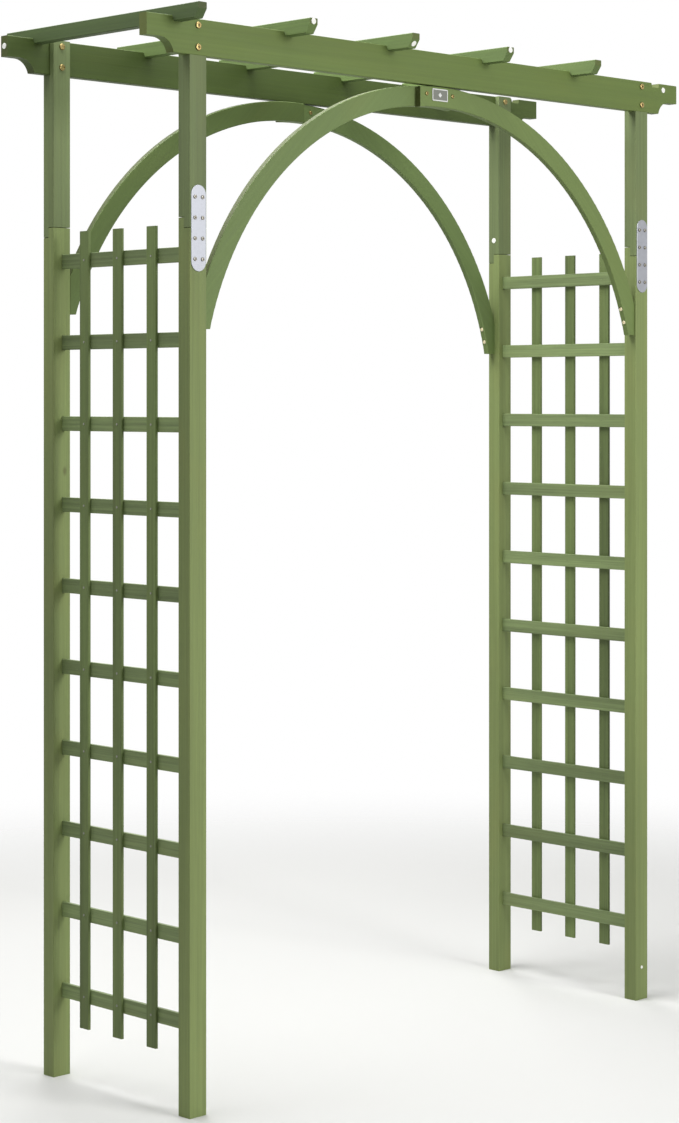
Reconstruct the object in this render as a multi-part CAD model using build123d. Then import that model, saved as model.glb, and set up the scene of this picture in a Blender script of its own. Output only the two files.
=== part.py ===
"""Flat-packed timber garden arch: four two-piece posts, two top beams, cross rafters,
two curved arches and two trellis side panels, held by zinc plates and brass screws.

Millimetres. +Z is up, +X runs along the top beams, and the front faces -Y.
The origin is on the ground, in the middle of the footprint.
"""
import math
import os

from build123d import *

# ---- driving dimensions ---------------------------------------------------------------
# posts
post_width = 42.0             # along X
post_depth = 32.5             # along Y
post_spacing = 1319.0         # centre to centre along X
frame_depth = 440.0           # front face to back face of the posts
edge_ease = 1.5               # rounding of the long timber edges

# top beams
beam_top = 2051.0             # height of the beams' top edge
beam_height = 68.0
beam_thickness = 21.0
beam_overhang = 104.5         # past the posts' outer sides
nose_flat = 32.0              # level underside at each beam end
nose_height = 41.0
cove_radius = 34.0            # hollow that runs from the nose down to the full height

# rafters and the seats that hold them
rafter_overhang = 68.0        # past the beams' outer faces
rafter_thickness = 21.0
rafter_height = 29.0
tip_face = 12.0               # upright part of a rafter's tip
tip_rake = 12.0               # how far the tip leans back below that
seat_count = 6
rafter_count = 5              # the last seat is spare
end_seat_offset = 49.25       # from a post's centre line out to the nearest seat
seat_depth = 10.0
seat_flare = 3.5              # how far each seat wall leans outwards
seat_clearance = 0.4          # between a rafter and its seat, both sides together

# joint between the lower and upper post pieces
seam_drop = 391.0             # from the beams' top down to the outer seam
seam_step = 20.0              # the inner seam is this much higher
seam_gap = 1.2                # left open at both shoulders of the joint

# arches
arch_spring = 35.0            # outer radius less half of the clear opening
arch_width = 41.5
arch_thickness = 14.0
arch_drop = 1.0               # gap between the arch's crown and the beam
arch_spread = {               # how far each half sits out from the middle, as assembled
    "front_left": 2.0,
    "front_right": 12.0,
    "back_left": 24.0,
    "back_right": 0.0,
}
foot_contact = {              # height of each foot's face against the post
    "front_left": 56.0,
    "front_right": 72.0,
    "back_left": 75.0,
    "back_right": 76.0,
}
lap_end = {                   # how far each half runs past the middle
    "front_left": 53.0,
    "front_right": 53.0,
    "back_left": 6.0,
    "back_right": 53.0,
}

# trellis panels
slat_count = 10
slat_height = 29.0
slat_thickness = 8.0
bottom_slat_top = 184.0
top_slat_drop = 32.5          # from the outer seam down to the top slat's top edge
slat_inset = 12.5             # from a post's inner side to the slats
housing_wall = 0.65           # wood left between a slat's end and the arch's foot screws
housing_clearance = 0.2       # round a slat in its housing, each side
upright_count = 3
upright_width = 27.5
upright_thickness = 6.5
upright_spacing = 101.0
upright_foot = 107.0          # height of the uprights' lower ends
upright_rise = 42.5           # past the top slat's top edge
upright_shift = {"left": 10.0, "right": -10.0}

# joint plates
plate_width = 36.0
plate_length = 162.0
plate_thickness = 2.0
plate_rows = 4
plate_row_pitch = 38.7
plate_column_pitch = 18.8
plate_edge = 0.7              # rounding of the pressed edge

# badge
badge_width = 46.0
badge_height = 25.0
badge_thickness = 1.2
badge_rim = 2.2
badge_relief = 0.4
badge_boss = 0.3              # side of the diamond, of the plate's height
badge_boss_rise = 0.8         # of the relief
badge_offset = 5.0            # to the right of the middle
badge_rise = 3.5              # above the middle of the arch's width

# fasteners: head diameter, head height, shank diameter
beam_bolt_size = (13.0, 3.0, 6.0)
sleeve_nut_size = (13.0, 3.0, 8.4)
plate_screw_size = (7.6, 2.0, 3.6)
foot_screw_size = (9.0, 2.6, 4.5)
apex_screw_size = (8.6, 2.4, 4.0)
rafter_screw_size = (8.4, 3.0, 4.2)
nail_size = (4.2, 0.7, 1.8)
bolt_stop = 5.5               # a bolt's tip is this far short of the post's inner face
sleeve_stop = 8.5             # and a sleeve nut's end this far short of the beam's face
plate_screw_stop = 4.25       # wood left beyond a plate screw, in half of the post
foot_screw_bite = 14.0        # least length of a foot screw inside the post
apex_screw_stop = 4.0
rafter_screw_bite = 21.0      # length of a rafter screw inside the beam
nail_stop = 1.0
lone_screw_stop = 1.0         # for the screw that goes through one arch layer only
sleeve_nut_floor = 1.0        # metal between a sleeve nut's bore and its head
hole_clearance = 0.2          # added to a shank's diameter for its hole
head_clearance = 1.0          # added to a sunk head's diameter for its pocket
bolt_top_inset = 12.0
bolt_bottom_inset = 15.0
foot_screw_heights = (28.0, 57.0)
foot_screw_sink = 2.0
apex_screw_x = {"front": (-34.0, 43.0), "back": (-34.0, 38.0)}
apex_screw_rise = 4.0

# shapes of the fasteners, as shares of the head's diameter unless it says otherwise
cross_length = 0.5
cross_width = 0.11
slot_length = 0.7
slot_width = 0.13
slot_depth = 0.4              # of the head's height
head_rounding = 0.6           # of the head's height
point_length = 1.2            # of the shank's diameter
point_end = 0.08              # of the shank's diameter

# round caps pressed into shallow bores
cap_diameter = 12.0
small_cap_diameter = 7.0
cap_bore_depth = 1.6
cap_thickness = 2.4
cap_pinhole = 1.6
cap_clearance = 0.15
cap_rounding = 0.9            # of what stands proud of the timber
beam_cap_inset = 48.0         # from the front beam's right end
beam_cap_rise = 7.0           # above the middle of the nose
post_cap_rise = 33.0          # above the inner seam
foot_cap_height = 72.0

overcut = 1.0                 # how far a cutting solid runs past the wood

# ---- places worked out from them ------------------------------------------------------
post_x = post_spacing / 2
half_opening = post_x - post_width / 2
face_y = frame_depth / 2
beam_length = post_spacing + post_width + 2 * beam_overhang
beam_end = beam_length / 2
beam_bottom = beam_top - beam_height
seat_floor = beam_top - seat_depth
rafter_top = seat_floor + rafter_height
rafter_length = frame_depth + 2 * rafter_overhang
seat_pitch = (post_spacing + 2 * end_seat_offset) / (seat_count - 1)
seam_outer = beam_top - seam_drop
seam_inner = seam_outer + seam_step
arch_radius = half_opening + arch_spring
arch_inner_radius = arch_radius - arch_width
arch_centre_z = beam_bottom - arch_drop - arch_radius
arch_middle_z = beam_bottom - arch_drop - arch_width / 2
arch_setback = post_depth - 2 * arch_thickness
top_slat_top = seam_outer - top_slat_drop
slat_pitch = (top_slat_top - bottom_slat_top) / (slat_count - 1)
slat_inner_x = half_opening + slat_inset
slat_outer_x = slat_inner_x + slat_thickness
inner_face_y = face_y - post_depth
housing_depth = arch_thickness / 2 - foot_screw_size[2] / 2 - housing_wall

# the same fasteners with the length under the head added
beam_bolt = (*beam_bolt_size, post_depth - bolt_stop)
sleeve_nut = (*sleeve_nut_size, post_depth - sleeve_stop)
plate_screw = (*plate_screw_size, post_depth / 2 + plate_thickness - plate_screw_stop)
apex_screw = (*apex_screw_size, 2 * arch_thickness - apex_screw_stop)
rafter_screw = (*rafter_screw_size, rafter_height + rafter_screw_bite)
nail = (*nail_size, slat_thickness + upright_thickness - nail_stop)

sides = {"left": -1, "right": 1}
rows = {"front": -1, "back": 1}


# ---- small helpers --------------------------------------------------------------------
def block(x0, x1, y0, y1, z0, z1):
    """Box between two corners, given in any order."""
    size = (abs(x1 - x0), abs(y1 - y0), abs(z1 - z0))
    return Pos((x0 + x1) / 2, (y0 + y1) / 2, (z0 + z1) / 2) * Box(*size)


def timber(x0, x1, y0, y1, z0, z1, grain):
    """Planed board whose edges along the grain are rounded."""
    board = block(x0, x1, y0, y1, z0, z1)
    return fillet(board.edges().filter_by(grain), edge_ease)


def drilled(piece, cuts):
    """The piece with every cutting solid taken away."""
    return piece - list(cuts) if cuts else piece


def aim(direction):
    """Rotation that turns a fastener, drawn pointing down -Z, to point along a direction."""
    turns = {
        "+x": Rot(0, -90, 0),
        "-x": Rot(0, 90, 0),
        "+y": Rot(90, 0, 0),
        "-y": Rot(-90, 0, 0),
        "-z": Rot(0, 0, 0),
    }
    return turns[direction]


def hole(at, direction, diameter, depth, above=0.0):
    """Cylinder that starts at a point, or above it, and runs along a direction."""
    length = depth + above
    drill = Pos(0, 0, (above - depth) / 2) * Cylinder(diameter / 2, length)
    return Pos(*at) * aim(direction) * drill


def pan_screw(size):
    """Pan-head screw with a cross recess; the head's underside is at z = 0."""
    head_d, head_h, shank_d, length = size
    head = Pos(0, 0, head_h / 2) * Cylinder(head_d / 2, head_h)
    head = fillet(head.edges().filter_by(GeomType.CIRCLE).sort_by(Axis.Z)[-1], head_h * head_rounding)
    slot = Box(head_d * cross_length, head_d * cross_width, head_h)
    cross = Pos(0, 0, head_h) * (slot + Rot(0, 0, 90) * slot)
    tip = shank_d * point_length
    body = Pos(0, 0, -(length - tip) / 2) * Cylinder(shank_d / 2, length - tip)
    point = Pos(0, 0, -length + tip / 2) * Cone(shank_d * point_end, shank_d / 2, tip)
    return (head - cross) + body + point


def flat_screw(size):
    """Countersunk screw with a cross recess; the head's top is at z = 0."""
    head_d, head_h, shank_d, length = size
    head = Pos(0, 0, -head_h / 2) * Cone(shank_d / 2, head_d / 2, head_h)
    slot = Box(head_d * cross_length, head_d * cross_width, head_h)
    cross = slot + Rot(0, 0, 90) * slot
    body = Pos(0, 0, -(head_h + length) / 2) * Cylinder(shank_d / 2, length - head_h)
    return (head - cross) + body


def round_nail(size):
    """Flat-headed nail; the head's underside is at z = 0."""
    head_d, head_h, shank_d, length = size
    head = Pos(0, 0, head_h / 2) * Cylinder(head_d / 2, head_h)
    return head + Pos(0, 0, -length / 2) * Cylinder(shank_d / 2, length)


def placed(fastener, spots):
    """Copies of one fastener at (point, direction) spots, as a group of solids."""
    return Compound(children=[Pos(*at) * aim(way) * fastener for at, way in spots])


def save(name, shape):
    export_step(shape, f"parts/{name}.step")


# ---- fastener places ------------------------------------------------------------------
def into(row):
    """Direction from a frame's outer face inwards."""
    return "+y" if row < 0 else "-y"


def out(row):
    return "-y" if row < 0 else "+y"


def bolt_points(side, row):
    heights = (beam_top - bolt_top_inset, beam_bottom + bolt_bottom_inset)
    return [(side * post_x, row * face_y, z) for z in heights]


def plate_points(side, row):
    points = []
    for i in range(plate_rows):
        z = seam_outer + (i - (plate_rows - 1) / 2) * plate_row_pitch
        for column in (-1, 1):
            x = side * post_x + column * plate_column_pitch / 2
            points.append((x, row * face_y, z))
    return points


def arch_layer(side):
    """Distances from the frame's outer face to an arch half's outer and inner faces."""
    near = arch_setback if side > 0 else arch_setback + arch_thickness
    return near, near + arch_thickness


def arch_half_x(side_name, row_name):
    """Where the centre of a half's curve lies along X."""
    return sides[side_name] * arch_spread[f"{row_name}_{side_name}"]


def foot_bottom(side_name, row_name):
    """Height of the level cut under a foot."""
    corner = f"{row_name}_{side_name}"
    reach = half_opening - arch_spread[corner]
    contact_top = arch_centre_z + math.sqrt(arch_radius**2 - reach**2)
    return contact_top - foot_contact[corner]


def foot_screw_points(side_name, row_name):
    """Seats of the two foot screws, sunk a little into the arch's concave edge."""
    side, row = sides[side_name], rows[row_name]
    near, far = arch_layer(side)
    y = row * (face_y - (near + far) / 2)
    points = []
    for rise in foot_screw_heights:
        z = foot_bottom(side_name, row_name) + rise
        inner = math.sqrt(arch_inner_radius**2 - (z - arch_centre_z) ** 2)
        points.append((arch_half_x(side_name, row_name) + side * (inner + foot_screw_sink), y, z))
    return points


def foot_screw():
    """One length for all eight, which bites into the post from the farthest seat."""
    seats = [abs(p[0]) for s in sides for r in rows for p in foot_screw_points(s, r)]
    return (*foot_screw_size, half_opening - min(seats) + foot_screw_bite)


def apex_spots(row_name):
    """Apex screws as (point, direction). The back arch's second one faces outwards."""
    row = rows[row_name]
    first, second = apex_screw_x[row_name]
    outer = row * (face_y - arch_setback)
    z = arch_middle_z + apex_screw_rise
    if row < 0:
        return [((first, outer, z), "+y"), ((second, outer, z), "+y")]
    inner = outer - arch_thickness
    return [((first, outer, z), "-y"), ((second, inner, z), "+y")]


def rafter_xs():
    first = -post_x - end_seat_offset
    return [first + i * seat_pitch for i in range(rafter_count)]


def rafter_screw_points():
    y = face_y - beam_thickness / 2
    return [(x, row * y, rafter_top) for x in rafter_xs() for row in rows.values()]


def slat_tops():
    return [top_slat_top - i * slat_pitch for i in range(slat_count)]


def upright_ys(side_name):
    middle = (upright_count - 1) / 2
    return [upright_shift[side_name] + (middle - i) * upright_spacing for i in range(upright_count)]


def nail_points(side_name):
    x = sides[side_name] * (slat_outer_x + upright_thickness)
    return [(x, y, top - slat_height / 2) for y in upright_ys(side_name) for top in slat_tops()]


def cap_spots():
    """Round caps as (owner, point, axis direction into the timber, lean, diameter)."""
    tip_y = -rafter_length / 2
    upright_z = rafter_top - tip_face / 2
    rake_height = rafter_height - tip_face
    rake = (tip_y + tip_rake / 2, seat_floor + rake_height / 2)
    lean = math.degrees(math.atan2(tip_rake, rake_height))
    xs = rafter_xs()
    beam_y = face_y - beam_thickness / 2
    post_y = face_y - post_depth / 2
    nose_z = beam_top - nose_height / 2
    big, small = cap_diameter, small_cap_diameter
    beam_cap_x = beam_end - beam_cap_inset
    return [
        ("rafter_2", (xs[1], tip_y, upright_z), "+y", 0, big),
        ("rafter_3", (xs[2], *rake), "+y", lean, big),
        ("rafter_4", (xs[3], tip_y, upright_z), "+y", 0, big),
        ("top_beam_back", (-beam_end, beam_y, nose_z), "+x", 0, big),
        ("top_beam_front", (beam_cap_x, -face_y, nose_z + beam_cap_rise), "+y", 0, big),
        ("upper_post_back_right", (half_opening, post_y, seam_inner + post_cap_rise), "+x", 0, big),
        ("lower_post_front_right", (post_x, -face_y, foot_cap_height), "+y", 0, small),
    ]


def cap_frame(spot):
    _, point, way, lean, _ = spot
    return Pos(*point) * Rot(lean, 0, 0) * aim(way)


def cap_bores(owner):
    """Shallow bores for the caps that sit in one timber."""
    bores = []
    for spot in cap_spots():
        if spot[0] == owner:
            radius = spot[4] / 2 + cap_clearance
            bores.append(cap_frame(spot) * Cylinder(radius, 2 * cap_bore_depth))
    return bores


# ---- posts ----------------------------------------------------------------------------
def post_blank(side, row, z0, z1):
    x = side * post_x
    ends = (x - post_width / 2, x + post_width / 2)
    return timber(*ends, row * face_y, row * inner_face_y, z0, z1, Axis.Z)


def post_screw_holes(side_name, row_name):
    """Pilot holes that the joint plate and the arch foot need in a post."""
    side, row = sides[side_name], rows[row_name]
    plate_d = plate_screw[2] + hole_clearance
    cuts = [hole(p, into(row), plate_d, plate_screw[3], overcut) for p in plate_points(side, row)]
    way = "+x" if side > 0 else "-x"
    for point in foot_screw_points(side_name, row_name):
        cuts.append(hole(point, way, foot_screw()[2] + hole_clearance, foot_screw()[3] + overcut))
    return cuts


def lower_post(side_name, row_name):
    side, row = sides[side_name], rows[row_name]
    post = post_blank(side, row, 0, seam_inner)
    x0, x1 = side * (post_x - post_width), side * (post_x + post_width)
    middle_y = row * (face_y - post_depth / 2)
    cuts = [block(x0, x1, middle_y, row * (face_y + overcut), seam_outer, seam_inner + overcut)]
    gap = housing_clearance
    for top in slat_tops():
        cuts.append(block(
            side * (slat_inner_x - gap), side * (slat_outer_x + gap),
            row * (inner_face_y - overcut), row * (inner_face_y + housing_depth + gap),
            top + gap, top - slat_height - gap,
        ))
    cuts += post_screw_holes(side_name, row_name)
    cuts += cap_bores(f"lower_post_{row_name}_{side_name}")
    return drilled(post, cuts)


def upper_post(side_name, row_name):
    side, row = sides[side_name], rows[row_name]
    post = post_blank(side, row, seam_outer + seam_gap, beam_top)
    x0, x1 = side * (post_x - post_width), side * (post_x + post_width)
    middle_y = row * (face_y - post_depth / 2)
    shoulder_y = row * (face_y - beam_thickness)
    inner_y, outer_y = row * (inner_face_y - overcut), row * (face_y + overcut)
    cuts = [
        block(x0, x1, middle_y, inner_y, seam_outer - overcut, seam_inner + seam_gap),
        block(x0, x1, shoulder_y, outer_y, beam_bottom, beam_top + overcut),
    ]
    bore = sleeve_nut[2] + hole_clearance
    reach = post_depth + overcut
    cuts += [hole(p, into(row), bore, reach, overcut) for p in bolt_points(side, row)]
    cuts += post_screw_holes(side_name, row_name)
    cuts += cap_bores(f"upper_post_{row_name}_{side_name}")
    return drilled(post, cuts)


# ---- top beams and rafters ------------------------------------------------------------
def seat_cutter(x):
    """Trapezoid that is widest at the beam's top edge."""
    floor = (rafter_thickness + seat_clearance) / 2
    top = floor + seat_flare * (seat_depth + overcut) / seat_depth
    outline = Polyline(
        (x - floor, seat_floor), (x + floor, seat_floor),
        (x + top, beam_top + overcut), (x - top, beam_top + overcut), close=True,
    )
    return extrude(Plane.XZ * make_face(outline), amount=frame_depth, both=True)


def end_cutter(side):
    """Waste under a beam's nose: a level step that runs into a concave cove."""
    step_x = side * (beam_end - nose_flat)
    step_z = beam_top - nose_height
    far = 2 * frame_depth
    past_x = side * (beam_end + overcut)
    step = block(step_x, past_x, -far, far, beam_bottom - overcut, step_z)
    cove = Pos(step_x, 0, step_z - cove_radius) * Rot(90, 0, 0) * Cylinder(cove_radius, 2 * far)
    return step + cove


def top_beam(row_name):
    row = rows[row_name]
    inner_y = row * (face_y - beam_thickness)
    beam = timber(-beam_end, beam_end, row * face_y, inner_y, beam_bottom, beam_top, Axis.X)
    cuts = [seat_cutter(-post_x - end_seat_offset + i * seat_pitch) for i in range(seat_count)]
    cuts += [end_cutter(side) for side in sides.values()]
    bore = sleeve_nut[2] + hole_clearance
    for side in sides.values():
        cuts += [hole(p, into(row), bore, post_depth, overcut) for p in bolt_points(side, row)]
    pilot = rafter_screw[2] + hole_clearance
    for point in rafter_screw_points():
        if point[1] * row > 0:
            cuts.append(hole(point, "-z", pilot, rafter_screw[3] + overcut))
    cuts += cap_bores(f"top_beam_{row_name}")
    return drilled(beam, cuts)


def rafter(number, x):
    half = rafter_length / 2
    sides_x = (x - rafter_thickness / 2, x + rafter_thickness / 2)
    board = timber(*sides_x, -half, half, seat_floor, rafter_top, Axis.Y)
    knee = rafter_top - tip_face
    below, past = seat_floor - overcut, half + overcut
    cuts = []
    for end in (-1, 1):
        outline = Polyline(
            (end * half, knee), (end * (half - tip_rake), seat_floor),
            (end * (half - tip_rake), below), (end * past, below), (end * past, knee), close=True,
        )
        wedge = extrude(Plane.YZ * make_face(outline), amount=rafter_thickness, both=True)
        cuts.append(Pos(x, 0, 0) * wedge)
    head_d, head_h, shank_d, length = rafter_screw
    sink = Pos(0, 0, -head_h / 2) * Cone(shank_d / 2, head_d / 2, head_h)
    for point in rafter_screw_points():
        if math.isclose(point[0], x):
            cuts.append(hole(point, "-z", shank_d + hole_clearance, length + overcut, overcut))
            cuts.append(Pos(*point) * sink)
    cuts += cap_bores(f"rafter_{number}")
    return drilled(board, cuts)


# ---- arches ---------------------------------------------------------------------------
def arch_half(side_name, row_name):
    """Flat ring segment, cut upright at the post and at the lap, and level at the foot."""
    side, row = sides[side_name], rows[row_name]
    near, far = arch_layer(side)
    ring = Cylinder(arch_radius, arch_thickness) - Cylinder(arch_inner_radius, arch_thickness)
    ring = fillet(ring.edges().filter_by(GeomType.CIRCLE), edge_ease)
    y = row * (face_y - (near + far) / 2)
    ring = Pos(arch_half_x(side_name, row_name), y, arch_centre_z) * Rot(90, 0, 0) * ring
    window = block(
        side * half_opening, -side * lap_end[f"{row_name}_{side_name}"],
        y - arch_thickness, y + arch_thickness,
        foot_bottom(side_name, row_name), beam_bottom + overcut,
    )
    way, back = ("+x", "-x") if side > 0 else ("-x", "+x")
    cuts = []
    for point in foot_screw_points(side_name, row_name):
        cuts.append(hole(point, way, foot_screw()[2] + hole_clearance, foot_screw()[3]))
        cuts.append(hole(point, back, foot_screw()[0] + head_clearance, arch_width))
    for point, direction in apex_spots(row_name):
        reach = apex_screw[3] + overcut
        cuts.append(hole(point, direction, apex_screw[2] + hole_clearance, reach, overcut))
    return drilled(ring & window, cuts)


def badge():
    """Plain maker's plate with a raised rim and a small diamond boss."""
    y = -(face_y - arch_setback)
    plate = Box(badge_width, badge_height, badge_thickness)
    plate = fillet(plate.edges().filter_by(Axis.Z), badge_rim)
    inner = Box(badge_width - 2 * badge_rim, badge_height - 2 * badge_rim, 2 * badge_relief)
    plate = plate - Pos(0, 0, badge_thickness / 2) * inner
    boss_side = badge_height * badge_boss
    boss_height = 2 * badge_relief * badge_boss_rise
    boss = Pos(0, 0, badge_thickness / 2 - badge_relief) * Rot(0, 0, 45)
    plate = plate + boss * Box(boss_side, boss_side, boss_height)
    place = Pos(badge_offset, y - badge_thickness / 2, arch_middle_z + badge_rise)
    return place * Rot(90, 0, 0) * plate


# ---- trellis panels -------------------------------------------------------------------
def slat(side_name, top):
    side = sides[side_name]
    end = inner_face_y + housing_depth
    board = timber(
        side * slat_inner_x, side * slat_outer_x, -end, end, top - slat_height, top, Axis.Y,
    )
    way = "-x" if side > 0 else "+x"
    bore = nail[2] + hole_clearance
    middle = top - slat_height / 2
    points = [p for p in nail_points(side_name) if math.isclose(p[2], middle)]
    return drilled(board, [hole(p, way, bore, nail[3] + overcut) for p in points])


def upright(side_name, y):
    side = sides[side_name]
    x0, x1 = side * slat_outer_x, side * (slat_outer_x + upright_thickness)
    edges_y = (y - upright_width / 2, y + upright_width / 2)
    board = timber(x0, x1, *edges_y, upright_foot, top_slat_top + upright_rise, Axis.Z)
    way = "-x" if side > 0 else "+x"
    bore = nail[2] + hole_clearance
    points = [p for p in nail_points(side_name) if math.isclose(p[1], y)]
    return drilled(board, [hole(p, way, bore, nail[3] + overcut, overcut) for p in points])


# ---- metal fittings -------------------------------------------------------------------
def joint_plate(side_name, row_name):
    """Round-ended strap over the outer seam of a post."""
    side, row = sides[side_name], rows[row_name]
    y = row * (face_y + plate_thickness / 2)
    strap = extrude(SlotOverall(plate_length, plate_width), amount=plate_thickness / 2, both=True)
    strap = fillet(strap.faces().sort_by(Axis.Z)[-1 if row < 0 else 0].edges(), plate_edge)
    strap = Pos(side * post_x, y, seam_outer) * Rot(90, 0, 0) * Rot(0, 0, 90) * strap
    bore = plate_screw[2] + hole_clearance
    points = plate_points(side, row)
    above = plate_thickness + overcut
    return drilled(strap, [hole(p, into(row), bore, overcut, above) for p in points])


def corner_spots(points_of, direction_of, lift=0.0):
    """Spots of one kind of fastener at all four posts."""
    spots = []
    for side in sides.values():
        for row in rows.values():
            for x, y, z in points_of(side, row):
                spots.append(((x, y + row * lift, z), direction_of(row)))
    return spots


def beam_bolts():
    return placed(pan_screw(beam_bolt), corner_spots(bolt_points, into))


def sleeve_nuts():
    """Barrel nuts that meet the beam bolts from the posts' inner faces."""
    head_d, head_h, barrel_d, length = sleeve_nut
    head = Pos(0, 0, head_h / 2) * Cylinder(head_d / 2, head_h)
    head = fillet(head.edges().filter_by(GeomType.CIRCLE).sort_by(Axis.Z)[-1], head_h * head_rounding)
    cutter = Box(head_d * slot_length, head_d * slot_width, 2 * head_h * slot_depth)
    slot = Pos(0, 0, head_h) * cutter
    barrel = Pos(0, 0, -length / 2) * Cylinder(barrel_d / 2, length)
    bore_d = beam_bolt[2] + hole_clearance
    bore = Pos(0, 0, -length / 2 - sleeve_nut_floor) * Cylinder(bore_d / 2, length)
    return placed((head - slot) + barrel - bore, corner_spots(bolt_points, out, -post_depth))


def plate_screws():
    return placed(pan_screw(plate_screw), corner_spots(plate_points, into, plate_thickness))


def foot_screws():
    spots = []
    for side_name, side in sides.items():
        way = "+x" if side > 0 else "-x"
        for row_name in rows:
            spots += [(p, way) for p in foot_screw_points(side_name, row_name)]
    return placed(pan_screw(foot_screw()), spots)


def apex_screws():
    """Three that clamp the laps and, in the back arch's right half, one shorter screw."""
    through, alone = apex_spots("back")
    long_screws = placed(pan_screw(apex_screw), [*apex_spots("front"), through])
    short = (*apex_screw[:3], arch_thickness - lone_screw_stop)
    short_screw = placed(pan_screw(short), [alone])
    return Compound(children=[*long_screws.children, *short_screw.children])


def panel_nails(side_name):
    way = "-x" if side_name == "right" else "+x"
    return placed(round_nail(nail), [(p, way) for p in nail_points(side_name)])


def screw_caps():
    """Shallow domed discs with a pinhole."""
    caps = []
    for spot in cap_spots():
        radius = spot[4] / 2
        rise = cap_thickness - cap_bore_depth
        disc = Pos(0, 0, rise - cap_thickness / 2) * Cylinder(radius, cap_thickness)
        disc = fillet(disc.edges().filter_by(GeomType.CIRCLE).sort_by(Axis.Z)[-1], rise * cap_rounding)
        disc = disc - Pos(0, 0, rise) * Cylinder(cap_pinhole / 2, cap_bore_depth)
        caps.append(cap_frame(spot) * disc)
    return Compound(children=caps)


# ---- everything -----------------------------------------------------------------------
def main():
    os.makedirs("parts", exist_ok=True)
    for side_name in sides:
        for row_name in rows:
            corner = f"{row_name}_{side_name}"
            save(f"lower_post_{corner}", lower_post(side_name, row_name))
            save(f"upper_post_{corner}", upper_post(side_name, row_name))
            save(f"joint_plate_{corner}", joint_plate(side_name, row_name))
            save(f"arch_{corner}", arch_half(side_name, row_name))
        for number, top in enumerate(slat_tops(), 1):
            save(f"slat_{side_name}_{number:02d}", slat(side_name, top))
        for number, y in enumerate(upright_ys(side_name), 1):
            save(f"upright_{side_name}_{number}", upright(side_name, y))
        save(f"nails_{side_name}", panel_nails(side_name))
    for row_name in rows:
        save(f"top_beam_{row_name}", top_beam(row_name))
    for number, x in enumerate(rafter_xs(), 1):
        save(f"rafter_{number}", rafter(number, x))
    save("badge_plate", badge())
    save("beam_bolts", beam_bolts())
    save("sleeve_nuts", sleeve_nuts())
    save("plate_screws", plate_screws())
    save("arch_foot_screws", foot_screws())
    save("arch_apex_screws", apex_screws())
    save("rafter_screws", placed(flat_screw(rafter_screw), [(p, "-z") for p in rafter_screw_points()]))
    save("screw_caps", screw_caps())


main()
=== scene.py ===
import math

import bpy
import numpy as np
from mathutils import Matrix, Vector


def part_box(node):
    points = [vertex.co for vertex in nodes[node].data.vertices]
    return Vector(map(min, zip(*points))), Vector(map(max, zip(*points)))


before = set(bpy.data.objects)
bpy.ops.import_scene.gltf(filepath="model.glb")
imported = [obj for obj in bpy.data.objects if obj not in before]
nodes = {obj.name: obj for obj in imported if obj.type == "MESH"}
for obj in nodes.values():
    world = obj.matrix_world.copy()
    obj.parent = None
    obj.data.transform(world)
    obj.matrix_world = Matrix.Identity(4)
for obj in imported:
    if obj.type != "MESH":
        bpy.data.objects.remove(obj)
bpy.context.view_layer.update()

mmPerMetre = 1000
print("stage: frame loaded,", len(nodes), "parts")


# ---- colour and small node helpers
def srgb(hexCode):
    # each channel over 255, then the sRGB curve undone
    rgb = [int(hexCode[i:i + 2], 16) / 255 for i in (0, 2, 4)]
    return tuple(c / 12.92 if c <= 0.04045 else ((c + 0.055) / 1.055) ** 2.4 for c in rgb) + (1.0,)


def addNode(tree, kind, inputs=None, **settings):
    # one node with its settings; an input is a value or another node's output socket
    node = tree.nodes.new(kind)
    for name, value in settings.items():
        setattr(node, name, value)
    for key, value in (inputs or {}).items():
        if isinstance(value, bpy.types.NodeSocket):
            tree.links.new(value, node.inputs[key])
        else:
            node.inputs[key].default_value = value
    return node


def tinted(base, tint):
    # a colour with each channel scaled by its own factor
    return Vector([channel * factor for channel, factor in zip(base, tint)])


def newMaterial(name):
    material = bpy.data.materials.new(name)
    material.use_nodes = True
    tree = material.node_tree
    tree.nodes.clear()
    shader = addNode(tree, "ShaderNodeBsdfPrincipled")
    addNode(tree, "ShaderNodeOutputMaterial", {"Surface": shader.outputs["BSDF"]})
    material.diffuse_color = (0.5, 0.5, 0.5, 1)
    return material, tree, shader


def dress(names, material):
    # the CAD part keeps its mesh and takes a new material
    for name in names:
        slots = nodes[name].data.materials
        slots.clear()
        slots.append(material)


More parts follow.
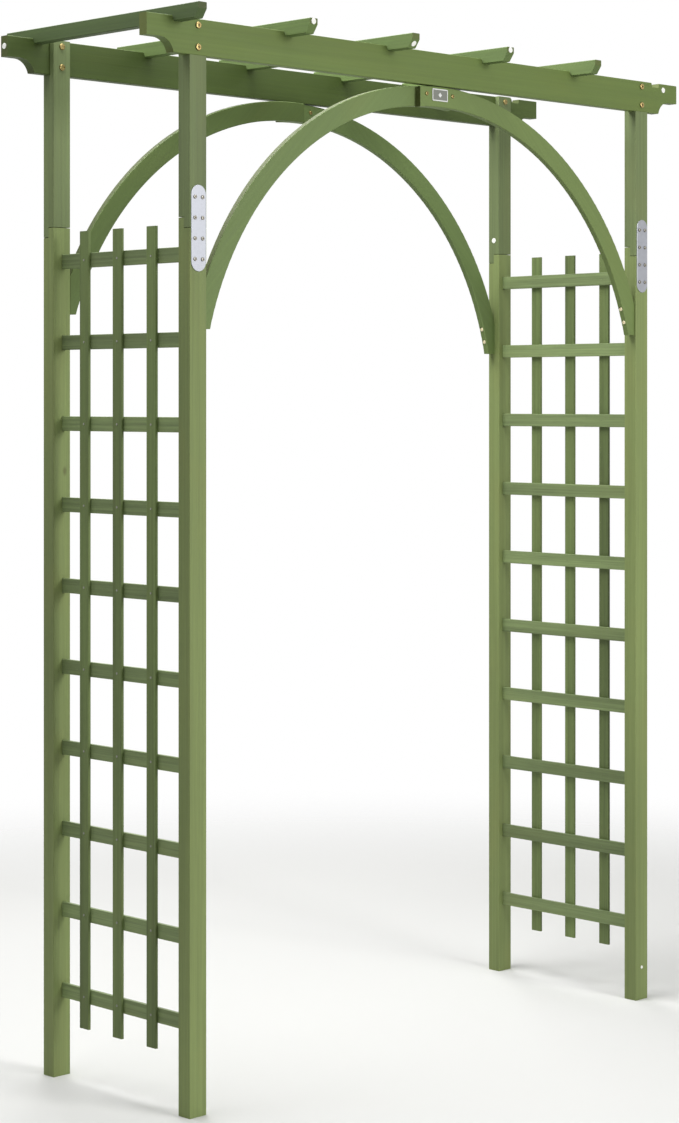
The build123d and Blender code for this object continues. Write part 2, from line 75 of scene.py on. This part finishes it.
# ---- stained softwood
# Planed spruce under one brushed coat of green stain. The eye gets long streaks where
# the hard late wood stays darker, a slow drift of tone from board to board, raised
# fibres, and a few knots that the stain leaves brownish.
stainedWood = {
    "fibreWidthMm": 1.6,        # real fibres are finer; this is as fine as the render shows
    "fibreLengthMm": 90,
    "bandWidthMm": 6,           # growth rings as they run out on a flat-sawn face
    "bandLengthMm": 620,
    "streakRange": (0.62, 1.38),    # sum of the fibre and band noise, from all dark to all light
    "darkPull": 1.3,            # streaks go further to the dark side than to the light
    "boardWidthMm": 95,         # tone differs from one board to the next
    "boardLengthMm": 900,
    "noiseRange": (0.3, 0.7),   # where most of a noise's values lie
    "boardShift": 0.37,         # metres between one stain's pattern and the next one's
    "sidewaysShare": 0.7,       # part of that shift that also goes across the grain
    "blotchMm": 70,             # where the brush left more stain
    "blotchLengthMm": 210,
    "thinRange": (0.5, 0.85),   # blotch noise where the stain starts to thin, and where it is thinnest
    "thinMost": 0.35,
    "thinTint": (1.22, 1.02, 0.92),
    "knotSpacingMm": 260,
    "knotAcrossMm": 156,
    "knotSizeMm": 7,
    "knotRim": (0.5, 1.6),      # knot sizes from its middle to full and to no brown
    "knotMost": 0.55,
    "knotColour": "4a4426",
    "reliefMm": 0.22,
    "reliefStrength": 0.6,
    "specular": 0.35,
    "roughness": 0.62,
    "roughnessSwing": (-0.08, 0.10),
    "sawnTint": (1.12, 0.92, 0.72),
    "sawnMost": 0.8,
    "endDarker": 0.74,          # end grain drinks more stain
    "endTurn": (0.82, 0.97),    # how far a face points along the grain, from not an end to an end
    "edgePaintedShade": 0.42,         # the arches' upper sawn edges are darkened much further: painted shade, over the stain that the cut across the grain takes up
    "edgeTurn": (0.45, 0.10),   # how far a face points through the arch, from a face to an edge
    "shadedEdgeUpTurn": (-0.15, -0.05),   # an edge that points further down than this gets no painted shade
}


def stretched(tree, place, acrossMm, alongMm):
    # noise cells acrossMm wide and alongMm long, with the grain along Z of the turned space
    across, along = mmPerMetre / acrossMm, mmPerMetre / alongMm
    return addNode(tree, "ShaderNodeMapping", {
        "Vector": place, "Scale": (across, across, along)}).outputs[0]


def makeStainedWood(name, hexCode, grain, contrast, offset):
    s = stainedWood
    material, tree, shader = newMaterial(name)
    coords = addNode(tree, "ShaderNodeTexCoord").outputs["Object"]
    turn = Vector(grain).to_track_quat("Z", "Y").inverted().to_euler()
    place = addNode(tree, "ShaderNodeMapping", {
        "Vector": coords, "Rotation": tuple(turn),
        "Location": (offset, offset * s["sidewaysShare"], 0)}).outputs[0]
    fibre = addNode(tree, "ShaderNodeTexNoise", {
        "Vector": stretched(tree, place, s["fibreWidthMm"], s["fibreLengthMm"]),
        "Scale": 1.0, "Detail": 3.0, "Roughness": 0.6}).outputs[0]
    band = addNode(tree, "ShaderNodeTexNoise", {
        "Vector": stretched(tree, place, s["bandWidthMm"], s["bandLengthMm"]),
        "Scale": 1.0, "Detail": 2.0, "Roughness": 0.5, "Distortion": 0.4}).outputs[0]
    board = addNode(tree, "ShaderNodeTexNoise", {
        "Vector": stretched(tree, place, s["boardWidthMm"], s["boardLengthMm"]),
        "Scale": 1.0, "Detail": 1.0}).outputs[0]
    blotch = addNode(tree, "ShaderNodeTexNoise", {
        "Vector": stretched(tree, place, s["blotchMm"], s["blotchLengthMm"]),
        "Scale": 1.0, "Detail": 2.0}).outputs[0]
    knot = addNode(tree, "ShaderNodeTexVoronoi", {
        "Vector": stretched(tree, place, s["knotAcrossMm"], s["knotSpacingMm"]), "Scale": 1.0})
    knotEdge = s["knotSizeMm"] / s["knotSpacingMm"]
    knotMask = addNode(tree, "ShaderNodeMapRange", {
        "Value": knot.outputs["Distance"],
        "From Min": knotEdge * s["knotRim"][0], "From Max": knotEdge * s["knotRim"][1],
        "To Min": 1.0, "To Max": 0.0}).outputs[0]

    # light and dark of the same stain, pulled apart by the streaks
    base = Vector(srgb(hexCode)[:3])
    dark = tuple(base * (1 - s["darkPull"] * contrast)) + (1.0,)
    light = tuple(base * (1 + contrast)) + (1.0,)
    streak = addNode(tree, "ShaderNodeMath", {0: band, 1: fibre}, operation="ADD").outputs[0]
    streak = addNode(tree, "ShaderNodeMapRange", {
        "Value": streak, "From Min": s["streakRange"][0], "From Max": s["streakRange"][1]}).outputs[0]
    colour = addNode(tree, "ShaderNodeMix", {
        0: streak, 6: dark, 7: light}, data_type="RGBA").outputs[2]
    drift = addNode(tree, "ShaderNodeMapRange", {
        "Value": board, "From Min": s["noiseRange"][0], "From Max": s["noiseRange"][1],
        "To Min": 1 - contrast, "To Max": 1 + contrast}).outputs[0]
    colour = addNode(tree, "ShaderNodeVectorMath", {0: colour, 3: drift}, operation="SCALE").outputs[0]
    # thinner stain lets the yellow of the wood through
    thin = addNode(tree, "ShaderNodeMapRange", {
        "Value": blotch, "From Min": s["thinRange"][0], "From Max": s["thinRange"][1],
        "To Min": 0.0, "To Max": s["thinMost"]}).outputs[0]
    warm = tuple(tinted(base, s["thinTint"])) + (1.0,)
    colour = addNode(tree, "ShaderNodeMix", {0: thin, 6: colour, 7: warm}, data_type="RGBA").outputs[2]
    knotTone = addNode(tree, "ShaderNodeMath", {
        0: knotMask, 1: s["knotMost"]}, operation="MULTIPLY").outputs[0]
    colour = addNode(tree, "ShaderNodeMix", {
        0: knotTone, 6: colour, 7: srgb(s["knotColour"])}, data_type="RGBA").outputs[2]
    # sawn faces: a board's ends, darker with the stain the end grain takes up; or painted shade on an arch
    # half's outline where it doesn't face down
    curved = name.startswith("arch")
    axis = Vector((0, 1, 0)) if curved else Vector(grain).normalized()
    start, full = s["edgeTurn"] if curved else s["endTurn"]
    normal = addNode(tree, "ShaderNodeTexCoord").outputs["Normal"]
    facing = addNode(tree, "ShaderNodeVectorMath", {
        0: normal, 1: tuple(axis)}, operation="DOT_PRODUCT").outputs["Value"]
    facing = addNode(tree, "ShaderNodeMath", {0: facing}, operation="ABSOLUTE").outputs[0]
    sawnOrShadeMask = addNode(tree, "ShaderNodeMapRange", {
        "Value": facing, "From Min": start, "From Max": full, "To Max": s["sawnMost"]}).outputs[0]
    if curved:
        up = addNode(tree, "ShaderNodeSeparateXYZ", {0: normal}).outputs["Z"]
        up = addNode(tree, "ShaderNodeMapRange", {
            "Value": up, "From Min": s["shadedEdgeUpTurn"][0], "From Max": s["shadedEdgeUpTurn"][1]}).outputs[0]
        sawnOrShadeMask = addNode(tree, "ShaderNodeMath", {0: sawnOrShadeMask, 1: up}, operation="MULTIPLY").outputs[0]
    sawnOrShadeDepth = s["edgePaintedShade"] if curved else s["endDarker"]
    sawnOrShadeTone = tuple(tinted(base, s["sawnTint"]) * sawnOrShadeDepth) + (1.0,)
    colour = addNode(tree, "ShaderNodeMix", {0: sawnOrShadeMask, 6: colour, 7: sawnOrShadeTone}, data_type="RGBA").outputs[2]
    tree.links.new(colour, shader.inputs["Base Color"])

    shader.inputs["Specular IOR Level"].default_value = s["specular"]
    rough = addNode(tree, "ShaderNodeMapRange", {
        "Value": fibre, "From Min": s["noiseRange"][0], "From Max": s["noiseRange"][1],
        "To Min": s["roughness"] + s["roughnessSwing"][0],
        "To Max": s["roughness"] + s["roughnessSwing"][1]}).outputs[0]
    tree.links.new(rough, shader.inputs["Roughness"])
    bump = addNode(tree, "ShaderNodeBump", {
        "Height": streak, "Strength": s["reliefStrength"], "Distance": s["reliefMm"] / mmPerMetre})
    tree.links.new(bump.outputs[0], shader.inputs["Normal"])
    return material


upward, alongBeam, acrossArch = (0, 0, 1), (1, 0, 0), (0, 1, 0)
slopeRight, slopeLeft = (1, 0, 1), (-1, 0, 1)
timber = {
    # parts: name, stain, grain direction, and how far the streaks pull lighter and darker
    "lower_post_": ("postStain", "788651", upward, 0.14),
    "upper_post_": ("upperPostStain", "6b794e", upward, 0.16),
    "upright_": ("uprightStain", "647444", upward, 0.24),
    "slat_": ("slatStain", "748457", acrossArch, 0.27),
    # the outer rafter's darker stain is painted shade, for the dark side its face turns to
    "rafter_1": ("outerRafterShadedStain", "46582f", acrossArch, 0.14),
    "rafter_": ("rafterStain", "5a6e3a", acrossArch, 0.12),
    "top_beam_front": ("frontBeamStain", "5f7137", alongBeam, 0.09),
    # the back beam's darker stain is painted shade, under the rafters and the front beam
    "top_beam_back": ("backBeamShadedStain", "445521", alongBeam, 0.10),
    "arch_front_left": ("archStainLeft", "697c48", slopeRight, 0.07),
    "arch_front_right": ("archStainRight", "687a43", slopeLeft, 0.07),
    # the back arch halves' darker stains are painted shade, behind the front beam and rafters
    "arch_back_left": ("archBackLeftShadedStain", "596c37", slopeRight, 0.07),
    "arch_back_right": ("archBackRightShadedStain", "647843", slopeLeft, 0.07),
}
taken = set()
for number, (prefix, (name, hexCode, grain, contrast)) in enumerate(timber.items()):
    members = [
        n for n in nodes if n.startswith(prefix) and not n.endswith("screws") and n not in taken]
    taken.update(members)
    dress(members, makeStainedWood(name, hexCode, grain, contrast, stainedWood["boardShift"] * number))
print("stage: timber stained")


# ---- metals
# What all the small metal pieces share: a slight mottle, and a grain that only softens the gloss.
metalGrain = {
    "toneRange": (0.90, 1.06),
    "roughnessSwing": (-0.07, 0.09),
    "noiseRange": (0.3, 0.7),
    "highlightEdgeRange": (0.75, 0.995),     # how far a face points to the front or back, from edge to flat
    "reliefMm": 0.1,
    "reliefStrength": 0.15,
    "sunkRange": (0.8, 0.4),        # shares of a head's relief, from all shaded to all bright
}
# Mild steel sheet, zinc plated: a pale bluish metal with faint crystal spangle, and a painted highlight on
# its rounded edges.
zincPlate = {"colour": "9fa1a7", "spangleMm": 5, "roughness": 0.46, "edgeHighlightGain": 1.45}


def makeMetal(name, settings):
    g = metalGrain
    material, tree, shader = newMaterial(name)
    coords = addNode(tree, "ShaderNodeTexCoord").outputs["Object"]
    speck = addNode(tree, "ShaderNodeTexNoise", {
        "Vector": coords, "Scale": mmPerMetre / settings["spangleMm"], "Detail": 3.0}).outputs[0]
    base = Vector(srgb(settings["colour"])[:3])
    dull, bright = (tuple(base * tone) + (1.0,) for tone in g["toneRange"])
    colour = addNode(tree, "ShaderNodeMix", {
        0: speck, 6: dull, 7: bright}, data_type="RGBA").outputs[2]
    if "edgeHighlightGain" in settings:
        # painted highlight on the rounded edges: their faces turn away from the front and back and are made
        # lighter
        normal = addNode(tree, "ShaderNodeTexCoord").outputs["Normal"]
        across = addNode(tree, "ShaderNodeSeparateXYZ", {0: normal}).outputs["Y"]
        across = addNode(tree, "ShaderNodeMath", {0: across}, operation="ABSOLUTE").outputs[0]
        highlightGain = addNode(tree, "ShaderNodeMapRange", {
            "Value": across, "From Min": g["highlightEdgeRange"][0], "From Max": g["highlightEdgeRange"][1],
            "To Min": settings["edgeHighlightGain"], "To Max": 1.0}).outputs[0]
        colour = addNode(tree, "ShaderNodeVectorMath", {0: colour, 3: highlightGain}, operation="SCALE").outputs[0]
    tree.links.new(colour, shader.inputs["Base Color"])
    shader.inputs["Metallic"].default_value = 1.0
    rough = addNode(tree, "ShaderNodeMapRange", {
        "Value": speck, "From Min": g["noiseRange"][0], "From Max": g["noiseRange"][1],
        "To Min": settings["roughness"] + g["roughnessSwing"][0],
        "To Max": settings["roughness"] + g["roughnessSwing"][1]}).outputs[0]
    tree.links.new(rough, shader.inputs["Roughness"])
    bump = addNode(tree, "ShaderNodeBump", {
        "Height": speck, "Strength": g["reliefStrength"], "Distance": g["reliefMm"] / mmPerMetre})
    tree.links.new(bump.outputs[0], shader.inputs["Normal"])
    return material


# Steel screws, zinc plated and yellow passivated: a soft gold with a satin pressed head.
yellowScrew = {"colour": "948456", "spangleMm": 1.5, "roughness": 0.28}
# The bolts' heads: a painted shade in their cross and round them.
yellowBolt = {
    "colour": "b39d68", "sunkShadeOrFieldColour": "2c2618", "reliefMm": 1.7, "spangleMm": 1.5, "roughness": 0.25}
# Foot screws, turned in by hand, made pale: a painted highlight on heads that sit in shaded pockets.
glintPaintedScrew = {"colour": "e6dcb8", "spangleMm": 1.5, "roughness": 0.3}
# The plates' smaller screws: grey heads with painted shade round them and in their cross.
shadedRingScrew = {
    "colour": "9a968c", "sunkShadeOrFieldColour": "25231e", "reliefMm": 1.2, "spangleMm": 1.5, "roughness": 0.3}
# Bright drawn nail wire that has dulled.
nailWire = {"colour": "8f9084", "spangleMm": 1.0, "roughness": 0.5}
# Pressed aluminium plate with a tumbled finish.
pressedPlate = {
    "colour": "c4c5c2", "sunkShadeOrFieldColour": "74766f", "reliefMm": 0.4, "spangleMm": 1.2, "roughness": 0.42}


def darkenSunk(material, settings, piece):
    # darker below the outermost face: painted shade in a screw's cross and round its head; in the badge's
    # pressed field, the plate's own darker colour
    tree = material.node_tree
    shader = next(n for n in tree.nodes if n.type == "BSDF_PRINCIPLED")
    outermost = max(abs(corner[1]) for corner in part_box(piece))
    coords = addNode(tree, "ShaderNodeTexCoord").outputs["Object"]
    y = addNode(tree, "ShaderNodeSeparateXYZ", {0: coords}).outputs["Y"]
    y = addNode(tree, "ShaderNodeMath", {0: y}, operation="ABSOLUTE").outputs[0]
    relief = settings["reliefMm"] / mmPerMetre
    shaded, clean = metalGrain["sunkRange"]
    sunkShadeOrField = addNode(tree, "ShaderNodeMapRange", {
        "Value": y, "From Min": outermost - relief * shaded, "From Max": outermost - relief * clean,
        "To Min": 1.0, "To Max": 0.0}).outputs[0]
    bright = shader.inputs["Base Color"].links[0].from_socket
    colour = addNode(tree, "ShaderNodeMix", {
        0: sunkShadeOrField, 6: bright, 7: srgb(settings["sunkShadeOrFieldColour"])}, data_type="RGBA").outputs[2]
    tree.links.new(colour, shader.inputs["Base Color"])
    return material


dress([n for n in nodes if n.startswith("joint_plate")], makeMetal("zincPlate", zincPlate))
dress(["sleeve_nuts", "arch_apex_screws", "rafter_screws"], makeMetal("yellowScrew", yellowScrew))
dress(["beam_bolts"], darkenSunk(makeMetal("yellowBolt", yellowBolt), yellowBolt, "beam_bolts"))
dress(["plate_screws"], darkenSunk(makeMetal("shadedRingScrew", shadedRingScrew), shadedRingScrew, "plate_screws"))
dress(["arch_foot_screws"], makeMetal("glintPaintedScrew", glintPaintedScrew))
dress(["nails_left", "nails_right"], makeMetal("nailWire", nailWire))
dress(["badge_plate"], darkenSunk(makeMetal("pressedPlate", pressedPlate), pressedPlate, "badge_plate"))


# ---- moulded caps
# Low-density polyethylene, injection moulded: milky white, soft gloss, slightly waxy.
mouldedCap = {"colour": "f1f1ec", "roughness": 0.42, "mottleMm": 3, "mottleTone": 0.95, "ior": 1.51}


def makePlastic(name, settings):
    material, tree, shader = newMaterial(name)
    coords = addNode(tree, "ShaderNodeTexCoord").outputs["Object"]
    mottle = addNode(tree, "ShaderNodeTexNoise", {
        "Vector": coords, "Scale": mmPerMetre / settings["mottleMm"], "Detail": 2.0}).outputs[0]
    base = Vector(srgb(settings["colour"])[:3])
    colour = addNode(tree, "ShaderNodeMix", {
        0: mottle, 6: tuple(base * settings["mottleTone"]) + (1.0,),
        7: tuple(base) + (1.0,)}, data_type="RGBA").outputs[2]
    tree.links.new(colour, shader.inputs["Base Color"])
    shader.inputs["Roughness"].default_value = settings["roughness"]
    shader.inputs["IOR"].default_value = settings["ior"]
    return material


dress(["screw_caps"], makePlastic("mouldedCap", mouldedCap))
print("stage: fittings finished")


# ---- studio
studio = {
    "floorHalf": 6.0,           # metres
    "floorCells": 4,            # squares along each side
    "floorColour": "dededc",
    "floorRoughness": 0.9,
    "fadeStart": 1.6,           # metres from the middle where the floor starts to melt into white
    "fadeEnd": 3.4,
    "skyStrength": 0.31,        # for diffuse light; the view itself and reflections stay white
    "lights": {                 # place, target, size in metres and power in watts
        "front": ((0.5, -4.2, 2.4), (0.1, 0, 1.1), 1.6, 120),
        "overhead": ((-0.45, 0.35, 3.2), (0.2, 0.1, 0.6), 1.4, 78),
        "left": ((-1.7, 0.1, 2.9), (-0.66, 0, 1.6), 0.8, 7),
        "back": ((2.6, 4.2, 3.0), (0, 0, 1.1), 2.0, 95),
    },
}


def makeFloor(s):
    # a flat grid: x and y run in even steps from -half to half, and z is 0
    cells = s["floorCells"]
    across = cells + 1          # points along each side
    steps = np.linspace(-s["floorHalf"], s["floorHalf"], across)
    x, y = np.meshgrid(steps, steps, indexing="ij")
    points = np.stack([x.ravel(), y.ravel(), np.zeros(x.size)], 1)
    row, column = np.meshgrid(np.arange(cells), np.arange(cells), indexing="ij")
    corner = (row * across + column).ravel()
    faces = np.stack([corner, corner + across, corner + across + 1, corner + 1], 1)
    mesh = bpy.data.meshes.new("studioFloor")
    mesh.from_pydata(points.tolist(), [], faces.tolist())
    floor = bpy.data.objects.new("studioFloor", mesh)
    bpy.context.scene.collection.objects.link(floor)
    # matt white paper that thins out with distance from the middle
    material, tree, shader = newMaterial("paleFloor")
    shader.inputs["Base Color"].default_value = srgb(s["floorColour"])
    shader.inputs["Roughness"].default_value = s["floorRoughness"]
    shader.inputs["Specular IOR Level"].default_value = 0.0
    coords = addNode(tree, "ShaderNodeTexCoord").outputs["Object"]
    reach = addNode(tree, "ShaderNodeVectorMath", {0: coords}, operation="LENGTH").outputs["Value"]
    shown = addNode(tree, "ShaderNodeMapRange", {
        "Value": reach, "From Min": s["fadeStart"], "From Max": s["fadeEnd"],
        "To Min": 1.0, "To Max": 0.0}, interpolation_type="SMOOTHSTEP").outputs[0]
    tree.links.new(shown, shader.inputs["Alpha"])
    mesh.materials.append(material)


def makeSky(strength):
    # white all round, but dimmer as a source of diffuse light
    world = bpy.data.worlds.new("studioSky")
    world.use_nodes = True
    tree = world.node_tree
    diffuse = addNode(tree, "ShaderNodeLightPath").outputs["Is Diffuse Ray"]
    level = addNode(tree, "ShaderNodeMapRange", {
        "Value": diffuse, "To Min": 1.0, "To Max": strength}).outputs[0]
    tree.nodes["Background"].inputs[0].default_value = (1, 1, 1, 1)
    tree.links.new(level, tree.nodes["Background"].inputs[1])
    bpy.context.scene.world = world


def makeLight(name, place, target, size, power):
    light = bpy.data.lights.new(name, "AREA")
    light.size = size
    light.energy = power
    lamp = bpy.data.objects.new(name, light)
    lamp.location = place
    lamp.rotation_euler = (Vector(target) - Vector(place)).to_track_quat("-Z", "Y").to_euler()
    bpy.context.scene.collection.objects.link(lamp)


makeFloor(studio)
makeSky(studio["skyStrength"])
for name, setting in studio["lights"].items():
    makeLight(name, *setting)
bpy.context.scene.view_settings.view_transform = "Standard"    # colours are shown as they are
print("stage: studio lit")


# ---- camera
view = {
    "place": (-3.782, -3.761, 1.3394),
    "tilt": 90,                 # degrees from straight down, so it looks level
    "bearing": 44.611,          # degrees from straight through the arch
    "lens": 80.92,
    "sensorMm": 36,
    "shiftUp": -0.144,
}
lensData = bpy.data.cameras.new("camera")
lensData.lens = view["lens"]
lensData.sensor_width = view["sensorMm"]
lensData.shift_y = view["shiftUp"]
camera = bpy.data.objects.new("camera", lensData)
camera.location = view["place"]
camera.rotation_euler = (math.radians(view["tilt"]), 0, -math.radians(view["bearing"]))
bpy.context.scene.collection.objects.link(camera)
bpy.context.scene.camera = camera
